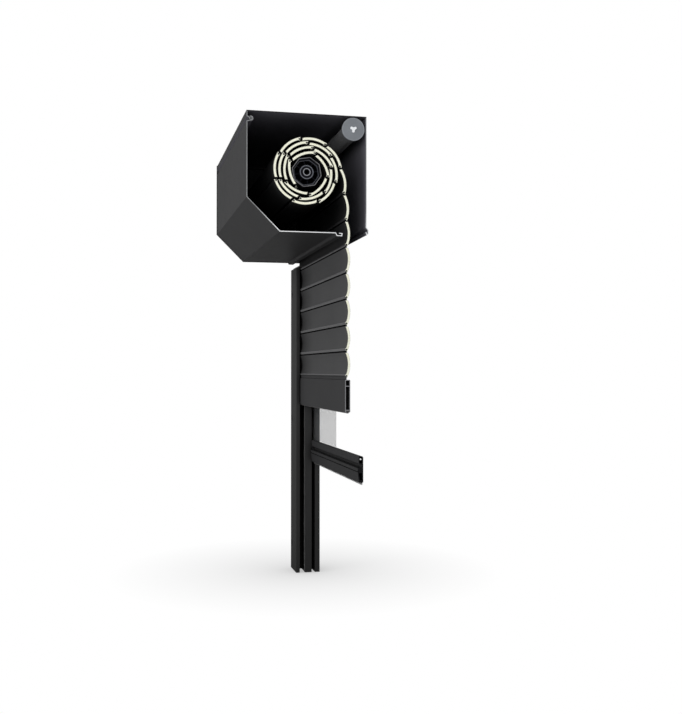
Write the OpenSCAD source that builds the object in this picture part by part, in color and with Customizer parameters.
// Exterior roller shutter with an insect screen, shown as a length of the
// product: its far end is closed by the end cap and runs in a guide rail, and its
// near end is cut flush and open, with the hanging mesh cut back further. X runs
// along the axle, from the guide rail to the open end. -Y is the street side and +Y
// the wall. The origin is the middle fixing hole of the guide rail, on the rail's
// rear face.

/* [Overall] */
// Length along the axle, from the outer face of the end cap to the open end
sample_l = 392; // [320:1:520]
// Height of the guide rail
guide_h = 530; // [500:1:600]
// Height of the gap between the guide rail and the underside of the box
box_gap = 14; // [13:0.5:16]

/* [Box] */
// Height of the box
box_h = 167; // [166:0.5:175]
// Depth of the box, from its front to its rear sheet
box_d = 171; // [168:0.5:180]
// Size of the slanted lower front corner of the box
box_chamfer = 46.5; // [36:0.5:47]
// Distance from the rear of the guide rail to the rear sheet of the box
box_setback = 3.3; // [3:0.1:4]
// Thickness of the rolled aluminium sheet
sheet_t = 1.2; // [1:0.1:1.3]
// Height of the front flange of the casing, above the cover
flange_h = 11.2; // [11:0.2:14]
// Radius of the bead that the cover hangs on
cover_bead_r = 2; // [1.8:0.1:2.1]
// Thickness of the end cap's outer plate
cap_t = 3; // [2.5:0.5:4]
// Depth of the end cap's rim inside the sheets
cap_rim = 12; // [8:1:14]
// How far the end cap stands proud of the sheets
cap_proud = 0.8; // [0.4:0.1:1.2]

/* [Slats] */
// Distance from hinge to hinge of one slat
slat_pitch = 37; // [36.5:0.1:37.5]
// Thickness of a slat over its two skins
slat_t = 3.4; // [3:0.1:3.5]
// Radius of the outward curve of a slat
slat_curve_r = 43; // [42.6:0.2:43.6]
// Thickness of the rolled skin of a slat
skin_t = 0.45; // [0.4:0.05:0.6]
// Outer radius of the hinge eye at the lower edge of a slat
eye_r = 2; // [1.95:0.05:2.05]
// Thickness of the eye wall
eye_t = 0.5; // [0.4:0.05:0.55]
// Number of slats wound on the axle
wound_slats = 22; // [20:1:22]
// Number of slats that hang straight in the guide rail
hanging_slats = 5; // [3:1:5]

/* [Axle] */
// Width of the octagonal axle tube across its flats
axle_w = 40; // [38:0.5:40]
// Wall of the axle tube
axle_wall = 1; // [0.8:0.1:1.5]
// Radius of the tubular motor
motor_r = 17.5; // [15:0.1:17.6]
// Length of the tubular motor behind its head
motor_l = 200; // [120:1:220]
// Outer radius of the pin in the open end of the axle
pin_r = 5.45; // [5:0.05:6]
// Radius of the bore in that pin
pin_bore_r = 3; // [2.5:0.1:3.5]
// Length of that pin
pin_l = 50; // [40:1:60]
// Length of the plug that carries the pin in the open end of the axle tube
plug_l = 34; // [24:1:40]

/* [Bottom bar] */
// Height of the hollow bottom bar
bar_h = 46; // [40:0.5:48]
// Wall of the bottom bar
bar_wall = 1.1; // [1:0.1:1.6]
// How far the rubber seal stands out below the bottom bar
seal_proud = 1.5; // [1:0.1:3]

/* [Guide rail] */
// Width of the guide rail
guide_w = 53; // [50:0.5:60]
// Depth of the guide rail, from front to rear
guide_d = 41.7; // [41:0.1:43]
// Width of the outer chamber that takes the fixing screws
chamber_w = 18; // [16:0.5:20]
// Thickness of the front leg of the guide rail
front_leg_t = 6; // [5:0.1:6.4]
// Width of the channel that the slats run in
slat_channel_w = 10; // [9.8:0.1:10.4]
// Width of the channel that the screen's pull bar runs in
screen_channel_w = 6; // [5.8:0.1:6.4]
// Thickness of the rear leg of the guide rail
rear_leg_t = 8.5; // [8:0.1:9]
// Depth of the screen channel
screen_channel_d = 25; // [20:0.5:28]
// Wall of the guide rail
guide_wall = 1.6; // [1.4:0.1:2]
// Radius of the fixing holes in the rear wall
screw_hole_r = 2.75; // [2:0.05:3.5]
// Distance from one fixing hole to the next
screw_pitch = 220; // [180:1:230]
// Radius of the holes that let a screwdriver through the front wall
access_hole_r = 5.5; // [5:0.1:6.5]

/* [Insect screen] */
// Outer radius of the screen's roller tube
screen_tube_r = 11; // [10.5:0.1:11.5]
// Wall of the roller tube
screen_tube_wall = 1.5; // [1.2:0.1:2]
// Thickness of the mesh wound on the roller tube
screen_wound_t = 1.5; // [1:0.1:2]
// Radius of the disc at the open end of the roller
screen_disc_r = 16.2; // [15:0.1:17.2]
// Thickness of the mesh
mesh_t = 0.5; // [0.4:0.05:0.8]
// Height of the pull bar
pull_h = 37; // [36:0.5:40]
// How far the screen is pulled down from the roller's axis to the top of the bar
screen_drop = 462.7; // [380:1:600]
// How far the hanging mesh is cut back from the open end
mesh_cut = 168; // [8:1:200]

/* [Hidden] */
$fn = 64;
eps = 0.01;
run_gap = 0.05;
seat_gap = 0.3;
foam_gap = 0.05;

// Places along the axle
far_x = -chamber_w / 2;
near_x = far_x + sample_l;
cap_in_x = far_x + cap_t;
sheet_x = cap_in_x + seat_gap;
chamber_x = far_x + chamber_w;
slat_end_gap = 6;
slat_x = chamber_x + slat_end_gap;
guide_near_x = far_x + guide_w;

// Guide rail, seen from above
guide_top = guide_h / 2;
front_y = -guide_d;
slat_channel_y = front_y + front_leg_t;
mid_leg_y = slat_channel_y + slat_channel_w;
rear_leg_y = -rear_leg_t;
screen_channel_y = rear_leg_y - screen_channel_w;
screen_channel_x = guide_near_x - screen_channel_d;

// Box, seen from the open end
box_bottom = guide_top + box_gap;
box_top = box_bottom + box_h;
box_rear = -box_setback;
box_front = box_rear - box_d;
slant = sqrt(2) - 1;

// Hinge of the inspection cover
hook_gap = 0.25;
hook_r = cover_bead_r + hook_gap + sheet_t / 2;
hook_setback = 5.4;
cover_y = box_front + sheet_t / 2 + hook_setback;
cover_z = box_top - flange_h;
bead_bore = 0.9;

// Bends of the sheets: rear curl of the casing from its rear face and the underside,
// foot of the cover from its end
curl = [[-0.2, 3], [1, -0.4], [3, 0.5], [3.1, 5.8], [0, 9.5]];
flange_low = 3.2;
foot = [[-9.3, 0], [-7.3, -3.8], [-0.5, -3.9], [0, -0.7], [-4.1, -0.3]];
foot_gap = 5.7;
shoulder = 4.2;

// End cap: rim inside the sheets, screws, and the spigot of the screen's roller
rim_gap = 0.3;
rim_t = 2;
spigot_l = 26;
cap_screw_r = 1.9;
cap_head_r = 3.6;
cap_head_h = 1.4;
cap_boss_l = 10;
cap_screws = [
    [box_rear - 12, box_top - 60],
    [box_front + 24, box_top - 12],
    [box_front + 12, box_bottom + box_chamfer + 12]
];

// Slat profile: a runs from its upper to its lower hinge, b towards its curved side
band_top = 4.4;
skirt = 3.05;
arc_shift = 0.1;
arc_a = (band_top + slat_pitch) / 2 + arc_shift;
edge_b = 2.4;
slat_peak = edge_b + slat_curve_r - sqrt(pow(slat_curve_r, 2) - pow(slat_pitch - arc_a, 2));
bead_gap = 0.15;
bead_r = eye_r - eye_t - bead_gap;
bead_wall = 0.45;
open_bead_gap = 0.65;
open_bead_r = eye_r - eye_t - open_bead_gap;
neck_t = 0.7;
mouth_from = -108;
mouth_to = 16;
open_mouth_to = 40;

// Spiral of the wound slats
layer_gap = 0.57;
roll_growth = slat_peak + layer_gap;
corner_rise = 1.4;
axle_corner_r = axle_w / 2 + corner_rise;
hanger_l = 5;
first_r = axle_corner_r + hanger_l;
entry_angle = 11.93;

// Curtain, from the roll to the guide rail
curtain_inset = 3.2;
curtain_y = slat_channel_y + curtain_inset;
hang_drop = 1.7;
hang_z = guide_top - hang_drop;
lead_tilts = [9.2, 4.5, 1];
lead_slats = len(lead_tilts);
last_lead = wound_slats + lead_slats;
slat_count = last_lead + hanging_slats;

// Bottom bar, from its hinge downwards, and its seal
bar_top = -5.5;
bar_rear = 5.5;
bar_bottom = bar_top - bar_h;
bar_floor_t = 1;
bar_rib_top = bar_top - 9.6;
bar_rib_low = bar_bottom + 2.6;
seal_y = 1.75;
seal_slot_w = 2.8;

// Axle, from the end cap to the open end
bracket_t = 4;
head_x = cap_in_x + bracket_t;
head_l = 10;
head_end_x = head_x + head_l;
crown_x = head_end_x + seat_gap;
crown_rim_t = 2.7;
tube_x = crown_x + crown_rim_t;
crown_l = 14;
motor_end_x = head_end_x + motor_l;
shaft_r = 6;
shaft_bore_l = 20;
shaft_l = 18;
wheel_gap = 2;
wheel_l = 16;
tube_gap = axle_wall + run_gap;
boss_r = 10.2;
plug_near_x = near_x - 1;
face_t = 4;

// Clips that hold the first slat on the axle tube
clip_l = 24;
clip_margin = 30;
clip_t = 0.8;

// Brushes in the slat channel: slot, strip and pile of each side
brush_inset = 4.6;
brush_slot_w = 5.2;
brush_slot_d = 1.2;
brush_pile_w = 3.2;
brush_sides = [[slat_channel_y, -1, 0.85], [mid_leg_y, 1, 0.9]];
brush_top = guide_top - 26;

// Insect screen
screen_y = -22.2;
disc_gap = 1;
screen_z = box_top - sheet_t - disc_gap - screen_disc_r;
wound_r = screen_tube_r + screen_wound_t;
mesh_y = screen_y + wound_r + seat_gap;
mesh_x = screen_channel_x + 2;
mesh_near_x = near_x - mesh_cut;
roll_near_x = near_x - 8;
disc_x = near_x - 4;
disc_t = 3;
pull_top = screen_z - screen_drop;
slider_gap = 0.4;
slider_t = screen_channel_w - 2 * slider_gap;
slider_y = screen_channel_y + slider_gap;
pull_w = 6.8;
pull_back = slider_y + slider_t + 0.8;
pull_front = pull_back - pull_w;
pull_head_h = 11.3;
pull_wall = 1.3;

// The last leading slat has a wider mouth: the hanging curtain moves in it
function mouth_side(i) = i == last_lead ? open_mouth_to : mouth_to;

function slat_name(i) = str(i < 10 ? "slat_0" : "slat_", i);

// Point at a distance and an angle
function polar(r, a) = [r * cos(a), r * sin(a)];

// Angle from one wound hinge to the next, so that their distance is one pitch
function hinge_step(r, low = 0, high = 180, tries = 34) =
    let (m = (low + high) / 2, next = r + roll_growth * m / 360)
    tries == 0 ? m
    : norm(polar(next, m) - [r, 0]) < slat_pitch ? hinge_step(r, m, high, tries - 1)
    : hinge_step(r, low, m, tries - 1);

// Radius and angle of the wound hinges, from the innermost one outwards
function hinge_spiral(n, r, a = 0) =
    let (m = hinge_step(r))
    n == 0 ? [[r, a]] : concat([[r, a]], hinge_spiral(n - 1, r + roll_growth * m / 360, a - m));

// Direction down a slat that leans by a tilt from the vertical
function down(tilt) = [sin(tilt), -cos(tilt)];

// Hinges above the guide rail, from its mouth up to where the roll begins
function sum_down(i) = i >= lead_slats ? [0, 0] : down(lead_tilts[i]) + sum_down(i + 1);
spiral = hinge_spiral(wound_slats, first_r);
leave = [curtain_y, hang_z] - slat_pitch * sum_down(0);
axle_c = leave - polar(spiral[wound_slats][0], entry_angle);
spiral_turn = entry_angle - spiral[wound_slats][1];

// Upper hinge of every slat, and of the bottom bar
function hinge(i) =
    i <= wound_slats ? axle_c + polar(spiral[i - 1][0], spiral[i - 1][1] + spiral_turn)
    : i <= wound_slats + lead_slats
        ? [curtain_y, hang_z] - slat_pitch * sum_down(i - wound_slats - 1)
    : [curtain_y, hang_z - slat_pitch * (i - wound_slats - lead_slats - 1)];
bar_z = hinge(slat_count + 1)[1];

// Angle of a slat, from its upper towards its lower hinge
function slat_angle(i) =
    let (d = hinge(i + 1) - hinge(i)) atan2(d[1], d[0]);

// Outline of a bent sheet: both sides of its centre line, with mitred corners
function unit(v) = v / norm(v);
function left(v) = [-v[1], v[0]];
function side(pts, i, h) =
    let (
        last = len(pts) - 1,
        before = unit(pts[max(i, 1)] - pts[max(i, 1) - 1]),
        after = unit(pts[min(i + 1, last)] - pts[min(i, last - 1)]),
        mid = unit(left(before) + left(after))
    )
    pts[i] + mid * h / (mid * left(before));
function bent_sheet(pts, t) = concat(
    [for (i = [0:len(pts) - 1]) side(pts, i, -t / 2)],
    [for (i = [len(pts) - 1:-1:0]) side(pts, i, t / 2)]
);

// Section of the box at an inset from its outer faces
function box_outline(i) = [
    [box_rear - i, box_bottom + i],
    [box_rear - i, box_top - i],
    [box_front + i, box_top - i],
    [box_front + i, box_bottom + box_chamfer + i * slant],
    [box_front + box_chamfer + i * slant, box_bottom + i]
];

// Draws a section that lies in Y and Z, from one place along X to another
module along_x(from, to) {
    translate([from, 0, 0]) rotate([90, 0, 90]) linear_extrude(to - from) children();
}

module rect(from, to) {
    translate(from) square(to - from);
}

module round_rect(from, to, r) {
    rect(from + [r, 0], to - [r, 0]);
    rect(from + [0, r], to - [0, r]);
    for (x = [from[0] + r, to[0] - r]) {
        for (y = [from[1] + r, to[1] - r]) translate([x, y]) circle(r = r);
    }
}

module ring(outer, inner) {
    difference() {
        circle(r = outer);
        circle(r = inner);
    }
}

// Slats

module band(inset) {
    intersection() {
        translate([arc_a, slat_peak - slat_curve_r]) difference() {
            circle(r = slat_curve_r - inset, $fn = 240);
            circle(r = slat_curve_r - slat_t + inset, $fn = 240);
        }
        rect([band_top + inset, -slat_t], [slat_pitch + skirt - inset, slat_peak + 1]);
    }
}

// The open side of the eye, through which the next slat's neck passes
module mouth(wall, to) {
    open = (to - mouth_from) / 2;
    back = polar(wall / sin(open), (to + mouth_from) / 2);
    translate([slat_pitch, 0] - back) polygon(concat(
        [[0, 0]],
        [for (k = [0:6]) polar(slat_pitch / 4, mouth_from + (to - mouth_from) * k / 6)]
    ));
}

module foam_space(wall, eye_wall, to) {
    difference() {
        band(wall);
        translate([slat_pitch, 0]) circle(r = eye_r + eye_wall);
        mouth(wall, to);
    }
}

module bead_and_neck(r, neck_to) {
    difference() {
        union() {
            circle(r = r, $fn = 48);
            rect([0, -neck_t / 2], [neck_to, neck_t / 2]);
        }
        circle(r = r - bead_wall, $fn = 48);
    }
}

module slat_section(r, to) {
    difference() {
        union() {
            band(0);
            translate([slat_pitch, 0]) circle(r = eye_r);
        }
        translate([slat_pitch, 0]) circle(r = eye_r - eye_t);
        mouth(0, to);
        foam_space(skin_t, 0, to);
    }
    bead_and_neck(r, band_top + skin_t / 2);
}

module on_slat(i) {
    translate(hinge(i)) rotate(slat_angle(i)) children();
}

module slat(i) {
    color([0.27, 0.28, 0.29]) along_x(slat_x, near_x) on_slat(i) {
        slat_section(i == last_lead + 1 ? open_bead_r : bead_r, mouth_side(i));
    }
}

module foam(from, to) {
    color([0.93, 0.96, 0.86]) for (i = [from:to]) along_x(slat_x, near_x) on_slat(i) {
        foam_space(skin_t + foam_gap, foam_gap, mouth_side(i));
    }
}

// Bottom bar, which hangs in the eye of the last slat

module bar_section() {
    front = -eye_r;
    w = bar_wall;
    difference() {
        union() {
            round_rect([front, bar_bottom], [bar_rear, bar_top], 1);
            rect([-neck_t / 2, bar_top - eps], [neck_t / 2, -bead_r / 2]);
            circle(r = bead_r, $fn = 48);
        }
        circle(r = bead_r - bead_wall, $fn = 48);
        rect([front + w, bar_rib_top + w], [bar_rear - w, bar_top - w]);
        rect([front + w, bar_rib_low + w], [bar_rear - w, bar_rib_top]);
        rect([front + w, bar_bottom + bar_floor_t], [bar_rear - w, bar_rib_low]);
        translate([seal_y, bar_bottom]) {
            rect([-seal_slot_w / 2, -eps], [seal_slot_w / 2, bar_floor_t + eps]);
        }
    }
}

module bottom_bar() {
    color([0.24, 0.25, 0.26]) along_x(slat_x, near_x) translate([curtain_y, bar_z]) bar_section();
}

// Rubber seal: a foot inside the bar, a stem through its slot and a round lip below
module bottom_seal() {
    stem = seal_slot_w / 2 - 0.1;
    lip = stem + 0.7;
    lip_t = 0.5;
    color([0.06, 0.06, 0.06]) along_x(slat_x, near_x) {
        translate([curtain_y + seal_y, bar_z + bar_bottom]) {
            rect([-stem, -lip_t], [stem, bar_floor_t + 0.2]);
            rect([-lip, bar_floor_t + run_gap], [lip, bar_floor_t + 1.2]);
            rect([-lip, -lip_t], [lip, -run_gap]);
            translate([0, -lip_t]) intersection() {
                translate([0, 1]) circle(r = seal_proud + lip_t);
                rect([-3, -5], [3, 0]);
            }
        }
    }
}

// Axle

module axle_section(inset) {
    translate(axle_c) rotate(spiral_turn + 22.5) intersection() {
        circle(r = (axle_w / 2 - inset) / cos(22.5), $fn = 8);
        circle(r = axle_corner_r - inset);
    }
}

module axle_tube() {
    color([0.30, 0.31, 0.32]) along_x(tube_x, near_x) difference() {
        axle_section(0);
        axle_section(axle_wall);
    }
}

module motor_crown() {
    color([0.10, 0.10, 0.11]) {
        along_x(crown_x, tube_x) translate(axle_c) ring(axle_corner_r, motor_r + run_gap);
        along_x(tube_x, tube_x + crown_l) difference() {
            axle_section(tube_gap);
            translate(axle_c) circle(r = motor_r + run_gap);
        }
    }
}

module motor_body() {
    color([0.82, 0.83, 0.84]) difference() {
        union() {
            along_x(head_x, head_end_x) translate(axle_c) circle(r = axle_corner_r);
            along_x(head_end_x - eps, motor_end_x) translate(axle_c) circle(r = motor_r);
        }
        along_x(motor_end_x - shaft_bore_l, motor_end_x + 1) {
            translate(axle_c) circle(r = shaft_r + run_gap);
        }
    }
}

// Wheel that carries the motor's torque to the axle tube: hub, web and rim
module drive_wheel() {
    wheel_x = motor_end_x + wheel_gap;
    hub_r = 9;
    rim_r = axle_w / 2 - 4.5;
    web_x = wheel_x + 6;
    web_t = 3;
    color([0.12, 0.12, 0.13]) {
        along_x(motor_end_x - shaft_l, wheel_x) translate(axle_c) circle(r = shaft_r);
        along_x(wheel_x - eps, wheel_x + wheel_l) difference() {
            axle_section(tube_gap);
            translate(axle_c) ring(rim_r, hub_r);
        }
        along_x(web_x, web_x + web_t) translate(axle_c) ring(rim_r + 0.1, hub_r - 0.1);
    }
}

// Plug in the open end of the tube: boss, web, rim and eight ribs between them
module axle_plug() {
    plug_x = plug_near_x - plug_l;
    face_x = plug_near_x - face_t;
    web_x = plug_x + 10;
    web_t = 3;
    rim_r = axle_w / 2 - 3.4;
    rib_t = 1.6;
    color([0.09, 0.09, 0.10]) {
        along_x(plug_x, face_x) difference() {
            axle_section(tube_gap);
            translate(axle_c) ring(rim_r, boss_r);
            translate(axle_c) circle(r = pin_r + run_gap);
        }
        along_x(web_x, web_x + web_t) translate(axle_c) ring(rim_r + 0.1, boss_r - eps);
        along_x(face_x - eps, plug_near_x) translate(axle_c) ring(boss_r, pin_r + run_gap);
        for (a = [0:45:315]) {
            along_x(web_x + 2, face_x - 1) translate(axle_c) rotate(spiral_turn + a) {
                rect([boss_r - 0.3, -rib_t / 2], [rim_r + 0.2, rib_t / 2]);
            }
        }
    }
}

module axle_pin() {
    color([0.62, 0.63, 0.65]) along_x(near_x - pin_l, near_x) {
        translate(axle_c) ring(pin_r, pin_bore_r);
    }
}

// Clips that hold the first slat's bead on a flat of the axle tube
module slat_hangers() {
    d = unit(axle_c - hinge(1));
    away = norm(axle_c - hinge(1)) - axle_w / 2;
    inner_r = bead_r + run_gap;
    slot = neck_t / 2 + 0.25;
    stem = 0.7;
    foot_w = 3.4;
    foot_t = 1;
    span = near_x - slat_x - 2 * clip_margin - clip_l;
    color([0.75, 0.76, 0.78]) for (k = [0:2]) {
        x = slat_x + clip_margin + k * span / 2;
        along_x(x, x + clip_l) translate(hinge(1)) {
            difference() {
                ring(inner_r + clip_t, inner_r);
                rotate(slat_angle(1)) rect([0, -slot], [hanger_l, slot]);
            }
            rotate(atan2(d[1], d[0])) {
                rect([inner_r + clip_t / 2, -stem], [away, stem]);
                rect([away - foot_t, -foot_w], [away, foot_w]);
            }
        }
    }
}

// Box

module casing() {
    r = sheet_t / 2;
    rear = box_rear - r;
    path = concat(
        [for (p = curl) [rear + p[0], box_bottom + p[1]]],
        [
            [rear, box_top - r],
            [box_front + r, box_top - r],
            [box_front + r, cover_z + flange_low],
            [cover_y, cover_z]
        ]
    );
    color([0.25, 0.25, 0.26]) along_x(sheet_x, near_x) difference() {
        union() {
            polygon(bent_sheet(path, sheet_t));
            translate([cover_y, cover_z]) circle(r = cover_bead_r);
        }
        translate([cover_y, cover_z]) circle(r = cover_bead_r - bead_bore);
    }
}

module inspection_cover() {
    r = sheet_t / 2;
    low = box_bottom + r;
    end_y = curtain_y - foot_gap - r;
    path = concat(
        [
            [cover_y, cover_z] + polar(hook_r, 255),
            [box_front + r, cover_z - shoulder],
            [box_front + r, box_bottom + box_chamfer + r * slant],
            [box_front + box_chamfer + r * slant, low]
        ],
        [for (p = foot) [end_y + p[0], low + p[1]]]
    );
    color([0.27, 0.27, 0.28]) along_x(sheet_x, near_x) {
        polygon(bent_sheet(path, sheet_t));
        translate([cover_y, cover_z]) difference() {
            ring(hook_r + r, hook_r - r);
            polygon(concat([[0, 0]], [for (a = [110:29:255]) polar(hook_r * 3, a)]));
        }
    }
}

// End cap, with the seat of the motor and the spigot of the screen's roller
module end_cap() {
    rim_in = sheet_t + rim_gap;
    spigot_r = screen_tube_r - screen_tube_wall - run_gap;
    color([0.20, 0.20, 0.21]) {
        along_x(far_x, cap_in_x) difference() {
            polygon(box_outline(-cap_proud));
            for (p = cap_screws) translate(p) circle(r = cap_screw_r + run_gap);
        }
        along_x(cap_in_x - eps, cap_in_x + cap_rim) difference() {
            polygon(box_outline(rim_in));
            polygon(box_outline(rim_in + rim_t));
            rect([box_front, box_top - flange_h - 10], [box_front + 16, box_top]);
            rect([curtain_y - 20, box_bottom], [box_rear, box_bottom + 14]);
        }
        along_x(cap_in_x - eps, cap_in_x + spigot_l) {
            translate([screen_y, screen_z]) circle(r = spigot_r);
        }
        for (p = cap_screws) along_x(cap_in_x - eps, cap_in_x + cap_boss_l) {
            translate(p) ring(cap_head_r, cap_screw_r + run_gap);
        }
    }
}

module end_cap_screws() {
    color([0.70, 0.71, 0.73]) for (p = cap_screws) {
        along_x(far_x, cap_in_x + cap_boss_l - 1) translate(p) circle(r = cap_screw_r);
        along_x(far_x - cap_head_h, far_x) translate(p) circle(r = cap_head_r);
    }
}

module motor_bracket() {
    half = 31;
    color([0.70, 0.71, 0.73]) along_x(cap_in_x, head_x) translate(axle_c) difference() {
        union() {
            round_rect([-half, -half], [half, half], 6);
            circle(r = half + 3);
        }
        for (a = [45:90:315]) translate(polar(30, a)) circle(r = 2.6);
        for (a = [0:90:270]) translate(polar(24, a)) circle(r = 4);
    }
}

// Guide rail

module guide_section() {
    w = guide_wall;
    nose = 8;
    difference() {
        round_rect([far_x, front_y], [guide_near_x, 0], 0.8);
        rect([far_x + w, front_y + w], [chamber_x - w, -w]);
        rect([chamber_x, slat_channel_y], [guide_near_x + 1, mid_leg_y]);
        rect([screen_channel_x, screen_channel_y], [guide_near_x + 1, rear_leg_y]);
        rect([chamber_x, front_y + w], [guide_near_x - nose, slat_channel_y - w]);
        rect([chamber_x, mid_leg_y + w], [screen_channel_x - w, -w]);
        rect([screen_channel_x, mid_leg_y + w], [guide_near_x - w, screen_channel_y - w]);
        rect([screen_channel_x, rear_leg_y + w], [guide_near_x - w, -w]);
        for (b = brush_sides) translate([guide_near_x - brush_inset, b[0]]) {
            into_leg(b[1], brush_slot_w / 2, brush_slot_d);
        }
    }
}

// Rectangle that reaches from a channel's side into the leg beside it
module into_leg(way, half, depth) {
    rect([-half, min(0, way * depth)], [half, max(0, way * depth)]);
}

module guide_rail() {
    color([0.13, 0.13, 0.14]) difference() {
        translate([0, 0, -guide_top]) linear_extrude(guide_h) guide_section();
        for (k = [-1:1]) translate([0, 0, k * screw_pitch]) rotate([90, 0, 0]) {
            translate([0, 0, -1]) cylinder(r = screw_hole_r, h = guide_wall + 2);
            translate([0, 0, guide_d - guide_wall - 1]) {
                cylinder(r = access_hole_r, h = guide_wall + 2);
            }
        }
    }
}

module guide_brushes() {
    color([0.05, 0.05, 0.05]) {
        translate([0, 0, -guide_top]) linear_extrude(guide_top + brush_top) {
            for (b = brush_sides) translate([guide_near_x - brush_inset, b[0]]) {
                into_leg(b[1], brush_slot_w / 2 - 0.1, brush_slot_d - run_gap);
                into_leg(-b[1], brush_pile_w / 2, b[2]);
                into_leg(b[1], brush_pile_w / 2, eps);
            }
        }
    }
}

// Plastic inlet between the end cap and the guide rail: a base with a low lip in
// front of the slats, a block behind them, and a tongue in the rail's chamber
module guide_funnel() {
    front = curtain_y - 5.2;
    rear = box_rear - 2;
    near = guide_near_x - 0.5;
    top = box_bottom - cap_proud;
    base_top = guide_top + 3;
    slat_front = curtain_y - 3.4;
    slat_rear = curtain_y + 7;
    tongue_l = 14;
    tongue_gap = guide_wall + 0.3;
    color([0.08, 0.08, 0.09]) {
        difference() {
            union() {
                translate([far_x, front, guide_top]) cube([near - far_x, rear - front, 3]);
                translate([far_x, slat_rear, guide_top]) {
                    cube([near - far_x, rear - slat_rear, top - guide_top]);
                }
            }
            translate([chamber_x, slat_front, guide_top - 1]) {
                cube([guide_w, slat_rear - slat_front, top]);
            }
            translate([chamber_x, 0, 0]) rotate([90, 0, 90]) linear_extrude(guide_w) polygon([
                [slat_front, guide_top + 1],
                [slat_rear, guide_top + 2],
                [slat_rear + 3.5, top + 1],
                [slat_front - 1, top + 1],
                [slat_front - 1, base_top]
            ]);
            translate([screen_channel_x, screen_channel_y, guide_top - 1]) {
                cube([guide_w, screen_channel_w + 1, top]);
            }
        }
        translate([far_x + tongue_gap, front_y + guide_wall + 4, guide_top - tongue_l]) {
            cube([
                chamber_w - 2 * tongue_gap,
                guide_d - 2 * guide_wall - 8,
                tongue_l + eps
            ]);
        }
    }
}

// Insect screen

module screen_tube() {
    color([0.72, 0.73, 0.75]) along_x(cap_in_x + 1, disc_x) translate([screen_y, screen_z]) {
        ring(screen_tube_r, screen_tube_r - screen_tube_wall);
    }
}

module screen_roll() {
    color([0.10, 0.10, 0.11]) along_x(mesh_x, roll_near_x) {
        translate([screen_y, screen_z]) ring(wound_r, screen_tube_r + run_gap);
    }
}

module screen_plug() {
    plug_in_l = 22;
    color([0.54, 0.57, 0.60]) {
        along_x(disc_x, disc_x + disc_t) translate([screen_y, screen_z]) circle(r = screen_disc_r);
        along_x(disc_x - plug_in_l, disc_x + eps) translate([screen_y, screen_z]) {
            circle(r = screen_tube_r - screen_tube_wall - run_gap);
        }
    }
}

// Three-lobed seat for the pin of the near end cap
module screen_hub() {
    color([0.90, 0.91, 0.92]) along_x(disc_x + disc_t, near_x) translate([screen_y, screen_z]) {
        circle(r = 2.6);
        for (a = [30:120:270]) translate(polar(3, a)) circle(r = 1.9);
    }
}

module screen_mesh() {
    color([0.16, 0.16, 0.17, 0.6]) translate([mesh_x, mesh_y, pull_top]) {
        cube([mesh_near_x - mesh_x, mesh_t, screen_drop]);
    }
}

// Pull bar: rounded head, deep groove, ridge, narrow groove and a hollow lower part
module pull_section() {
    w = pull_wall;
    groove_low = -17.2;
    ridge_low = -21.4;
    low_top = -22.6;
    proud = 1.2;
    web = 2.4;
    difference() {
        union() {
            round_rect([pull_front, -pull_head_h], [pull_back, 0], 2.4);
            rect([pull_back - web, groove_low - 1], [pull_back, -pull_head_h + 1]);
            rect([pull_front - proud, ridge_low], [pull_back, groove_low]);
            rect([pull_front + 0.6, low_top - 0.5], [pull_back, ridge_low + 0.5]);
            polygon([
                [pull_front - proud, low_top],
                [pull_front + 0.4, -pull_h],
                [pull_back, -pull_h],
                [pull_back, low_top]
            ]);
        }
        round_rect([pull_front + w, -pull_head_h + w], [pull_back - w, -w], 1.2);
        polygon([
            [pull_front + 0.2, low_top - w],
            [pull_front + 0.4 + w, -pull_h + 3.2],
            [pull_back - w, -pull_h + 3.2],
            [pull_back - w, low_top - w]
        ]);
    }
}

module pull_bar() {
    color([0.15, 0.15, 0.16]) along_x(guide_near_x + 0.3, near_x) {
        translate([0, pull_top]) pull_section();
    }
}

module pull_brush() {
    pile_l = 4;
    color([0.04, 0.04, 0.04]) along_x(guide_near_x + 1, near_x - 1) {
        translate([0, pull_top - pull_h]) rect([pull_back - 3, -pile_l], [pull_back - 0.4, 0]);
    }
}

module pull_slider() {
    x = screen_channel_x + 1;
    tongue_l = 18;
    tongue_h = 7;
    tongue_gap = 0.7;
    color([0.10, 0.10, 0.11]) {
        translate([x, slider_y, pull_top - pull_h + 2]) {
            cube([guide_near_x + 0.3 - x, slider_t, pull_h - 4]);
        }
        translate([guide_near_x, slider_y + tongue_gap, pull_top - 9.3]) {
            cube([tongue_l, slider_t - 2 * tongue_gap, tongue_h]);
        }
    }
}

casing();
inspection_cover();
end_cap();
end_cap_screws();
motor_bracket();
motor_body();
motor_crown();
drive_wheel();
axle_tube();
axle_plug();
axle_pin();
slat_hangers();
bottom_bar();
bottom_seal();
guide_rail();
guide_brushes();
guide_funnel();
screen_tube();
screen_plug();
screen_hub();
screen_roll();
screen_mesh();
pull_bar();
pull_brush();
pull_slider();
foam(1, wound_slats);  // foam_roll
foam(wound_slats + 1, wound_slats + 1);  // foam_23
foam(wound_slats + 2, wound_slats + 2);  // foam_24
foam(wound_slats + 3, wound_slats + 3);  // foam_25
foam(wound_slats + lead_slats + 1, slat_count);  // foam_curtain
for (i = [1:slat_count]) {
    slat(i);
}
